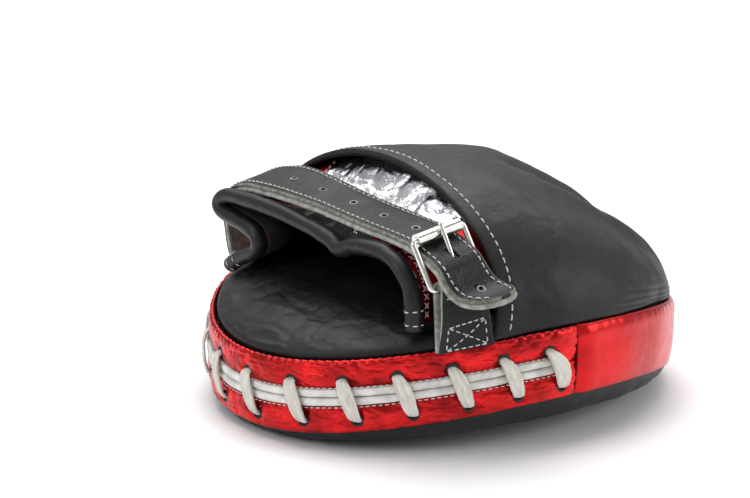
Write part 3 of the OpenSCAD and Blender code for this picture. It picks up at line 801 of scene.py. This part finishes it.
def hood():
    n = normals(hood_outer)
    n = n * np.sign(n[..., 2:].mean())
    thick = 2.2 + 1.2 * bell(np.arange(HOOD_ROWS)[:, None] * 1.0, 0, 3.0)
    under = hood_outer - n * thick[..., None]
    under[..., 2] = np.maximum(under[..., 2], bend_z(under[..., 0], 0.5))
    finish_piece(slab("hood_leather", hood_outer, under), "black_leather",
                 replaces=["finger_hood", "hood_hem"])
    inner = hood_outer[6:] - n[6:] * 2.6
    deep = hood_outer[6:] - n[6:] * 3.4
    for g in (inner, deep):
        g[..., 2] = np.maximum(g[..., 2], bend_z(g[..., 0], 0.5))
    finish_piece(slab("hood_lining_cloth", inner, deep), "lining_cloth",
                 replaces=["hood_lining"])
    surface = Surface(hood_outer, np.sign(normals(hood_outer)[..., 2].mean()))
    share = math.asin(HEM_STITCH / (HOOD_TIP + HEM_BACK)) / (math.pi / 2)
    row = surface.at(np.full(700, share), np.linspace(0.012, 0.988, 700))
    thread("hem_stitches", [row], "pad", pitch=4.3, length=3.1, radius=0.34)


hood()

# ---- Cuff ----

# Wrist edge of the cuff: side, height, and the hood-arch angle that each place runs back to
FRONT_EDGE = [(-71, 59.5, 0), (-70.5, 68, 9), (-68.5, 76, 18), (-64.5, 81.5, 26), (-59, 86, 33), (-49.5, 89.2, 42),
              (-38, 89, 52), (-27, 87.4, 62), (-21, 84.9, 67), (-17, 84.6, 70), (-13, 86.6, 74), (-1, 89.2, 84),
              (22, 92, 104), (46, 93.2, 124), (62, 93, 138), (73, 91.8, 147), (78.5, 88, 153), (76.5, 84, 157),
              (68, 82, 160), (57, 80.5, 163), (48, 78, 166), (45, 74, 169), (47, 69.5, 172), (54, 66, 175),
              (62, 63, 178), (69, 59, 180)]
FRONT_RUN = spline(FRONT_EDGE, 900)
TUCK, TUCK_INSET = 8.0, 4.9


def cuff_grid(v0, v1, inset, cols=140):
    """The cuff from its wrist edge back under the hood; v0 and v1 give its side edges' angles at each row."""
    s = np.linspace(0, 1, 60)[:, None]
    v = v0(s) + (v1(s) - v0(s)) * np.linspace(0, 1, cols)[None, :]
    fy, fz = np.interp(v, FRONT_RUN[:, 2], FRONT_RUN[:, 0]), np.interp(v, FRONT_RUN[:, 2], FRONT_RUN[:, 1])
    turn = np.radians(v)
    back = TUCK - HEM_BACK
    under = hood_point(back, turn, TUCK_INSET)
    x = CUFF_FRONT + (under[..., 0] - CUFF_FRONT) * s
    foot = bend_z(x, 0) + CUFF_LIFT
    by = under[..., 1] * (1 - 0.11 * np.cos(turn) ** 4)
    rise = (hood_top(back) - TUCK_INSET - CUFF_LIFT) * np.sin(turn)
    w = s ** 2.0
    low = fz - (bend_z(CUFF_FRONT, 0) + CUFF_LIFT)
    p = np.stack([x, fy * (1 - w) + by * w, foot + low * (1 - w) + rise * w], -1)
    n = normals(p)
    n = n * np.sign(n[..., 2].mean() + 1e-9)
    return p - n * inset, n


def silver_near(s):
    return 68.5 - 29.0 * s


def silver_far(s):
    return 116.5 + 1.5 * s


def near_foot(s):
    return 0 * s


def far_foot(s):
    return 0 * s + 180


def cuff_piece(name, u0, u1, mat, replaced, relief):
    p, n = cuff_grid(u0, u1, 0)
    hold = smooth(0, 0.06, np.linspace(0, 1, p.shape[0]))[:, None]
    outer = p + n * (relief(p) * hold)[..., None]
    obj = slab(name, outer, outer - n * 1.5)
    finish_piece(obj, mat, replaces=[replaced])
    return outer


def silver_relief(p):
    return 1.0 * fbm(p, 18, 2, 81) - 0.55 * creases(p, 17, 2, 82) + 0.18 * fbm(p, 5, 2, 84)


def red_relief(p):
    return 0.6 * fbm(p, 12, 2, 91) - 0.35 * creases(p, 8, 2, 92)


silver = cuff_piece("cuff_silver", silver_near, silver_far, "silver_foil",
                    "cuff_silver_panel", silver_relief)
red_near = cuff_piece("cuff_red_near", near_foot, silver_near, "red_foil",
                      "cuff_side_near", red_relief)
cuff_piece("cuff_red_far", silver_far, far_foot, "red_foil", "cuff_side_far", red_relief)
lining_top, lining_under = (cuff_grid(near_foot, far_foot, inset, cols=200)[0] for inset in (2.3, 3.5))
finish_piece(slab("cuff_inner_cloth", lining_top, lining_under), "lining_cloth",
             replaces=["cuff_lining"])


def cuff_seams():
    """Seams of the cuff: two rows across the silver, its side seams, and the crossed row near the tab."""
    surf = Surface(silver, np.sign(normals(silver)[..., 2].mean()))
    a = np.radians(np.arange(8) * 45)[None, :, None]
    for k, s in enumerate((0.50, 0.58)):
        points, n = surf.line([(s, 0.04), (s + 0.05, 0.3), (s + 0.02, 0.6), (s - 0.05, 0.96)])
        b = np.cross(n, unit(np.gradient(points, axis=0)))
        rings = points[:, None] + (np.cos(a) * n[:, None] + np.sin(a) * b[:, None]) * 0.55
        finish_piece(tube(f"silver_seam_{k}", rings[::2]), "binding_leather")
    sides = [surf.line([(0.02, 0.015), (0.98, 0.012)]), surf.line([(0.02, 0.985), (0.98, 0.988)])]
    thread("silver_side_stitches", sides, "pad", pitch=3.4, length=2.3, radius=0.28)
    near = Surface(red_near, np.sign(-normals(red_near)[..., 1].mean()))
    cross = []
    for k in range(9):
        v = 0.03 + k * 0.065
        cross += [near.line([(0.10, v), (0.17, v + 0.055)], 12), near.line([(0.17, v), (0.10, v + 0.055)], 12)]
    cross += [near.line([(0.05, 0.01), (0.05, 0.85)])]
    thread("cuff_cross_stitches", cross, "pad", pitch=6.0, length=4.0, radius=0.3)


cuff_seams()


def binding():
    front = even(FRONT_RUN[:, :2], 260)
    path = np.stack([np.full(260, CUFF_FRONT - 3.0), front[:, 0], front[:, 1] - 0.6], 1)
    path[:, 2] -= 1.2 * bell(np.arange(260), 0, 12) + 1.2 * bell(np.arange(260), 259, 12)
    path[:, 0] += 0.9 * fbm(path, 30, 2, 101)
    t = unit(np.gradient(path, axis=0))
    side = unit(np.cross(t, [1.0, 0, 0]))
    other = np.cross(t, side)
    a = np.radians(np.arange(22) * 360 / 22)[None, :, None]
    r = 3.9 * (1 + 0.05 * fbm(path, 12, 2, 102))[:, None, None]
    rings = path[:, None] + r * (np.cos(a) * side[:, None] + 1.12 * np.sin(a) * other[:, None])
    relief = 0.25 * fbm(rings, 7, 2, 103) - 0.3 * creases(rings, 12, 1, 104)
    rings = rings + unit(rings - path[:, None]) * relief[..., None]
    finish_piece(tube("cuff_edge_binding", rings), "binding_leather",
                 replaces=["cuff_binding"])
    rows = []
    for i in (3, 9, 250, 256):
        loop = rings[i][np.r_[0:22, 0]]
        rows.append((loop, unit(loop - path[i])))
    thread("binding_foot_stitches", rows, "pad", pitch=3.8, length=2.7, radius=0.32)


binding()

# ---- Strap ----

STRAP_WIDTH = 25.0
PLY = 1.8
ROUTE = [(82, 60), (82.8, 68), (82.4, 80), (79.4, 90), (72, 97), (60, 101.5), (46, 103.6), (33, 104.2), (18, 103.4),
         (0, 101.9), (-20, 100), (-36, 98.9), (-54, 97.8), (-64.6, 96.6), (-71.4, 93.9), (-78, 91.3), (-83.2, 88),
         (-86.4, 83.3), (-89.2, 79.6), (-93.4, 76.8), (-99, 75.6), (-105.5, 75.9)]
STRAP_HOLES = [34, 11.8, -10.5, -32.8, -55]
# The prong: the frame's lean, its slope on the frame, its ring's radius, its length, and the lifts it needs room for
FRAME_LEAN, PRONG_SLOPE, PRONG_RING, PRONG_REACH = 25.7, 4, 2.65, 27.5
PRONG_LIFTS = (0, 4, 8, 11)
TAIL_HOLE_Y = -92.5


def tilted(x, y, z):
    """From the strap's own upright plane to the part's frame."""
    x, y, z = np.broadcast_arrays(*(np.asarray(q, float) for q in (x, y, z)))
    dz = z - BAR[2]
    return np.stack([BAR[0] + x * math.cos(TILT) - dz * math.sin(TILT), y,
                     BAR[2] + x * math.sin(TILT) + dz * math.cos(TILT)], -1)


def strap_line():
    line = spline(ROUTE, 420)
    t = unit(np.gradient(line, axis=0))
    return line, np.stack([t[:, 1], -t[:, 0]], 1)


def blended(obj):
    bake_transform(obj)
    return obj


def strap_shape(line, k):
    """Half width of the strap at each place, and k more; its free end is rounded."""
    s = np.r_[0, np.cumsum(np.linalg.norm(np.diff(line, axis=0), axis=1))]
    left, r = s[-1] - s, STRAP_WIDTH / 2
    rounding = r * 0.9
    round_end = r * np.sqrt(np.maximum(0.02, 1 - ((rounding - left) / rounding) ** 2) * 0.93 + 0.03)
    return np.where(left < rounding, round_end, r) + k


def strap_twist(line):
    """Extra slope across the strap on the far side of the hand."""
    return 0.175 * bell(line[:, 0], 36, 26) * smooth(84, 76, line[:, 0])


def tail_sway(line):
    return 5.5 * smooth(-84, -105, line[:, 0])


def strap_plies():
    line, n = strap_line()
    half = strap_shape(line, 0)
    wobble = 0.35 * fbm(np.c_[line, 0 * half] , 9, 2, 111)
    for name, low, high, k, mats, slot, nodes in (
            ("strap_top_ply", 0.02, PLY - 0.05, 0.0, ["strap_leather", "felt_edge"], "strap_leather",
             ["strap", "strap_tail"]),
            ("strap_lower_ply", -PLY - 0.7, -0.02, 0.5, ["split_leather", "split_leather"], "split_leather",
             ["strap_backing", "strap_tail_backing"])):
        h = (half + k + wobble)[:, None]
        r = (high - low) / 2
        across = np.linspace(-1, 1, 21)[None, :]
        arc = np.radians(np.linspace(90, -90, 7))[None, 1:-1]
        flat = across * (h - r)
        x = np.concatenate([flat, h - r + r * np.cos(arc), -flat, -(h - r) - r * np.cos(arc)], 1)
        off = np.concatenate([0 * across * h + high, (low + high) / 2 + r * np.sin(arc) + 0 * h,
                              0 * across * h + low, (low + high) / 2 - r * np.sin(arc) + 0 * h], 1)
        curl = 0.5 * (np.abs(x) / (STRAP_WIDTH / 2)) ** 4 - x * strap_twist(line)[:, None]
        off = off - curl + 0.25 * fbm(np.stack([x, line[:, :1] + 0 * x, 0 * x], -1), 12, 2, 112)
        y, z = line[:, :1] + n[:, :1] * off, line[:, 1:] + n[:, 1:] * off
        rings = tilted(x + tail_sway(line)[:, None], y, z)
        obj = tube(name, rings, slot_of=(lambda j: 0 if j < 20 else 1))
        pairs = [(tilted(0, q, 90), tilted(0, q, 115)) for q in STRAP_HOLES]
        pairs.append((tilted(1.2, TAIL_HOLE_Y, 60), tilted(1.2, TAIL_HOLE_Y, 115)))
        cutters = [rods(name + "_punch", pairs, 1.7)]
        for lift in PRONG_LIFTS:
            root = math.radians(FRAME_LEAN - lift)
            a = root - math.radians(PRONG_SLOPE)
            start = BAR[1:] + PRONG_RING * np.array([-math.cos(root), math.sin(root)])
            reach = start + PRONG_REACH * np.array([math.sin(a), math.cos(a)])
            cutters.append(rods(name + f"_prong_{lift}", [(tilted(0, *start), tilted(0, *reach))], 1.75))
        cut(obj, cutters)
        finish_piece(obj, mats, body=None, replaces=nodes)
        blended(obj)
    rows = []
    for side in (-1, 1):
        x = side * (half - 2.9)
        off = PLY + 0.02 - 0.5 * (np.abs(x) / (STRAP_WIDTH / 2)) ** 4 + x * strap_twist(line)
        x = x + tail_sway(line)
        points = tilted(x, line[:, 0] + n[:, 0] * off, line[:, 1] + n[:, 1] * off)
        up = tilted(x, line[:, 0] + n[:, 0] * (off + 1), line[:, 1] + n[:, 1] * (off + 1)) - points
        rows.append((points[4:-6], up[4:-6]))
    blended(thread("strap_stitches", rows, None, pitch=3.5, length=2.5, radius=0.31, lift=0.2))
    rings = []
    for q in STRAP_HOLES + [TAIL_HOLE_Y]:
        i = int(np.argmin(np.abs(line[:, 0] - q) + (line[:, 1] < 70) * 100))
        centre = tilted(tail_sway(line[i:i + 1])[0], *(line[i] + n[i] * (PLY - 0.12)))
        up = unit(tilted(0, *(line[i] + n[i] * PLY)) - tilted(0, *line[i]))
        side = unit(tilted(1, 0, 80) - tilted(0, 0, 80))
        rings.append((centre, up, side, np.cross(up, side)))

    def point(place, i, j):
        centre, up, side, other = place
        step = i * 10 / math.pi
        reach = 1.75 + 0.16 * math.sin(step * 1.9) + 0.1 * math.sin(step * 4.1) + 0.4 * math.cos(j)
        return centre + (math.cos(i) * side + math.sin(i) * other) * reach + up * 0.22 * math.sin(j)

    for name, group in (("strap_hole_edges", rings[:-1]), ("tail_hole_edge", rings[-1:])):
        obj = outward(link(name, *small_rings(group, 6, point)))
        blended(finish_piece(obj, "split_leather", body=None))


strap_plies()

# ---- Buckle tab ----


def tab():
    cols, half = 25, 11.2
    local = np.linspace(-half, half, cols)
    bar = tilted(local, BAR[1], BAR[2])
    foot_x = BAR[0] + local * math.cos(TILT)
    foot_y = -half_width_at(foot_x, 0.2)
    foot = np.stack([foot_x + 0.02 * local, foot_y, bend_z(foot_x, 0) - 1.0], -1)
    down = unit(foot - bar)
    side = unit(bar[-1] - bar[0])
    out = unit(np.cross(side, down))
    out = out * np.sign(-out[:, 1:2])
    lap = np.linspace(0, 1, 40)[:, None, None]
    r = 2.45
    outer_leg = (foot + out * 1.3)[None] * (1 - lap) + (bar + down * 1.5 + out * r)[None] * lap
    outer_leg = outer_leg + out[None] * 1.1 * np.sin(lap * np.pi) ** 2
    inner_leg = (foot - out * 0.7)[None] * (1 - lap) + (bar + down * 1.5 - out * r)[None] * lap
    angle = np.linspace(0, 180, 22)[1:-1]
    loop = np.stack([bar + r * (math.cos(math.radians(a)) * out - math.sin(math.radians(a)) * down) for a in angle])
    mid = np.concatenate([outer_leg, loop, inner_leg[::-1]])
    n = normals(mid)
    if (n[10] * out).sum() < 0:
        n = -n
    relief = (0.2 * fbm(mid, 8, 2, 121))[..., None]
    obj = slab("buckle_tab_leather", mid + n * (0.85 + relief), mid - n * 0.85, edge_slot=1, under_slot=1)
    slot_box = rods("tab_slot", [(tilted(-1.9, BAR[1], BAR[2]), tilted(1.9, BAR[1], BAR[2]))], 6.0, 24)
    cut(obj, [slot_box])
    finish_piece(obj, ["strap_leather", "split_leather"], replaces=["buckle_tab"])
    surface = Surface(mid + n * (0.9 + relief))
    surface.normal = n
    u = 40 / (len(mid) - 1)
    low, high, left, right = 0.03 * u, 0.40 * u, 0.13, 0.87
    rows = [surface.line([(low, left), (high, left)], 60), surface.line([(low, right), (high, right)], 60),
            surface.line([(low, left), (low, right)], 60), surface.line([(high, left), (high, right)], 60),
            surface.line([(low, left), (high, right)], 60), surface.line([(high, left), (low, right)], 60),
            surface.line([(0.86 * u, 0.06), (0.86 * u, 0.42)], 60)]
    thread("tab_stitches", rows, "pad", pitch=2.9, length=2.2, radius=0.31, lift=0.15)


tab()

# ---- Nodes carried over as they are ----

for node, mat in (("buckle_frame", "nickel"), ("buckle_roller", "nickel"), ("buckle_prong", "nickel"),
                  ("strike_foam", "foam"), ("core_foam", "core_foam"), ("backing_board", "fibre_board"),
                  ("palm_foam", "foam")):
    mesh = frame["nodes"][node].data
    mesh.materials.clear()
    mesh.materials.append(MAT[mat])

# ---- Stage, lights and camera ----


def stage():
    n = 60
    depth = np.linspace(-2200, 6000, n)
    z = np.where(depth > 4500, ((depth - 4500) / 1500) ** 2 * 1500, 0)
    turn = math.radians(VIEW_TURN)
    away, right = np.array([math.sin(turn), math.cos(turn)]), np.array([math.cos(turn), -math.sin(turn)])
    grid = np.array([[[*(away * d + right * w), h] for w in np.linspace(-3500, 3500, 9)] for d, h in zip(depth, z)])
    faces = [(i * 9 + j, i * 9 + j + 1, (i + 1) * 9 + j + 1, (i + 1) * 9 + j) for i in range(n - 1) for j in range(8)]
    floor = link("floor", grid.reshape(-1, 3) - [0, 0, 0.05], faces)
    floor.data.materials.append(MAT["floor"])


def area(name, place, target, width, height, power):
    data = bpy.data.lights.new(name, "AREA")
    data.shape, data.size, data.size_y, data.energy = "RECTANGLE", width, height, power
    obj = bpy.data.objects.new(name, data)
    obj.location = place
    obj.rotation_mode = "QUATERNION"
    obj.rotation_quaternion = (Vector(target) - Vector(place)).to_track_quat("-Z", "Y")
    bpy.context.scene.collection.objects.link(obj)


stage()
world = bpy.data.worlds.new("studio")
bpy.context.scene.world = world
world.use_nodes = True
world.node_tree.nodes["Background"].inputs["Color"].default_value = (1, 1, 1, 1)
world.node_tree.nodes["Background"].inputs["Strength"].default_value = 0.46
area("top", (0.05, 0.25, 1.25), (0, 0, 0.03), 1.1, 0.9, 12)
area("left", (-1.15, 0.15, 0.75), (0, 0, 0.05), 0.7, 0.9, 4.5)
area("right", (0.75, -0.95, 0.55), (0.05, 0, 0.04), 0.6, 0.6, 5)
area("far_floor", (0.95, 1.1, 1.5), (1.05, 1.2, 0), 2.6, 1.6, 26)
bpy.context.scene.view_settings.view_transform = "Standard"


def camera():
    """The photo's own view: from the buckle side and the wrist, a little above."""
    turn, tip, roll = math.radians(VIEW_TURN), math.radians(14.87), math.radians(1.852)
    focal, middle, aim = 1933.5, (375.0, 249.0), (443.19, 273.84)
    away = np.array([math.sin(turn), math.cos(turn), 0.0])
    level = np.array([math.cos(turn), -math.sin(turn), 0.0])
    ahead = math.cos(tip) * away - np.array([0, 0, math.sin(tip)])
    over = math.sin(tip) * away + np.array([0, 0, math.cos(tip)])
    place = np.array([0, 0, RIM_TOP]) - 950 * ahead
    right = math.cos(roll) * level + math.sin(roll) * over
    up = -math.sin(roll) * level + math.cos(roll) * over
    look = unit(ahead + right * (middle[0] - aim[0]) / focal + up * (aim[1] - middle[1]) / focal)
    right = unit(right - (right @ look) * look)
    up = np.cross(right, look)
    data = bpy.data.cameras.new("camera")
    data.sensor_width, data.lens = 36.0, focal / 750 * 36
    data.clip_start, data.clip_end = 0.05, 50
    obj = bpy.data.objects.new("camera", data)
    bpy.context.scene.collection.objects.link(obj)
    m = np.eye(4)
    m[:3, 0], m[:3, 1], m[:3, 2], m[:3, 3] = right, up, -look, place * MM
    obj.matrix_world = Matrix(m.tolist())
    bpy.context.scene.camera = obj


camera()

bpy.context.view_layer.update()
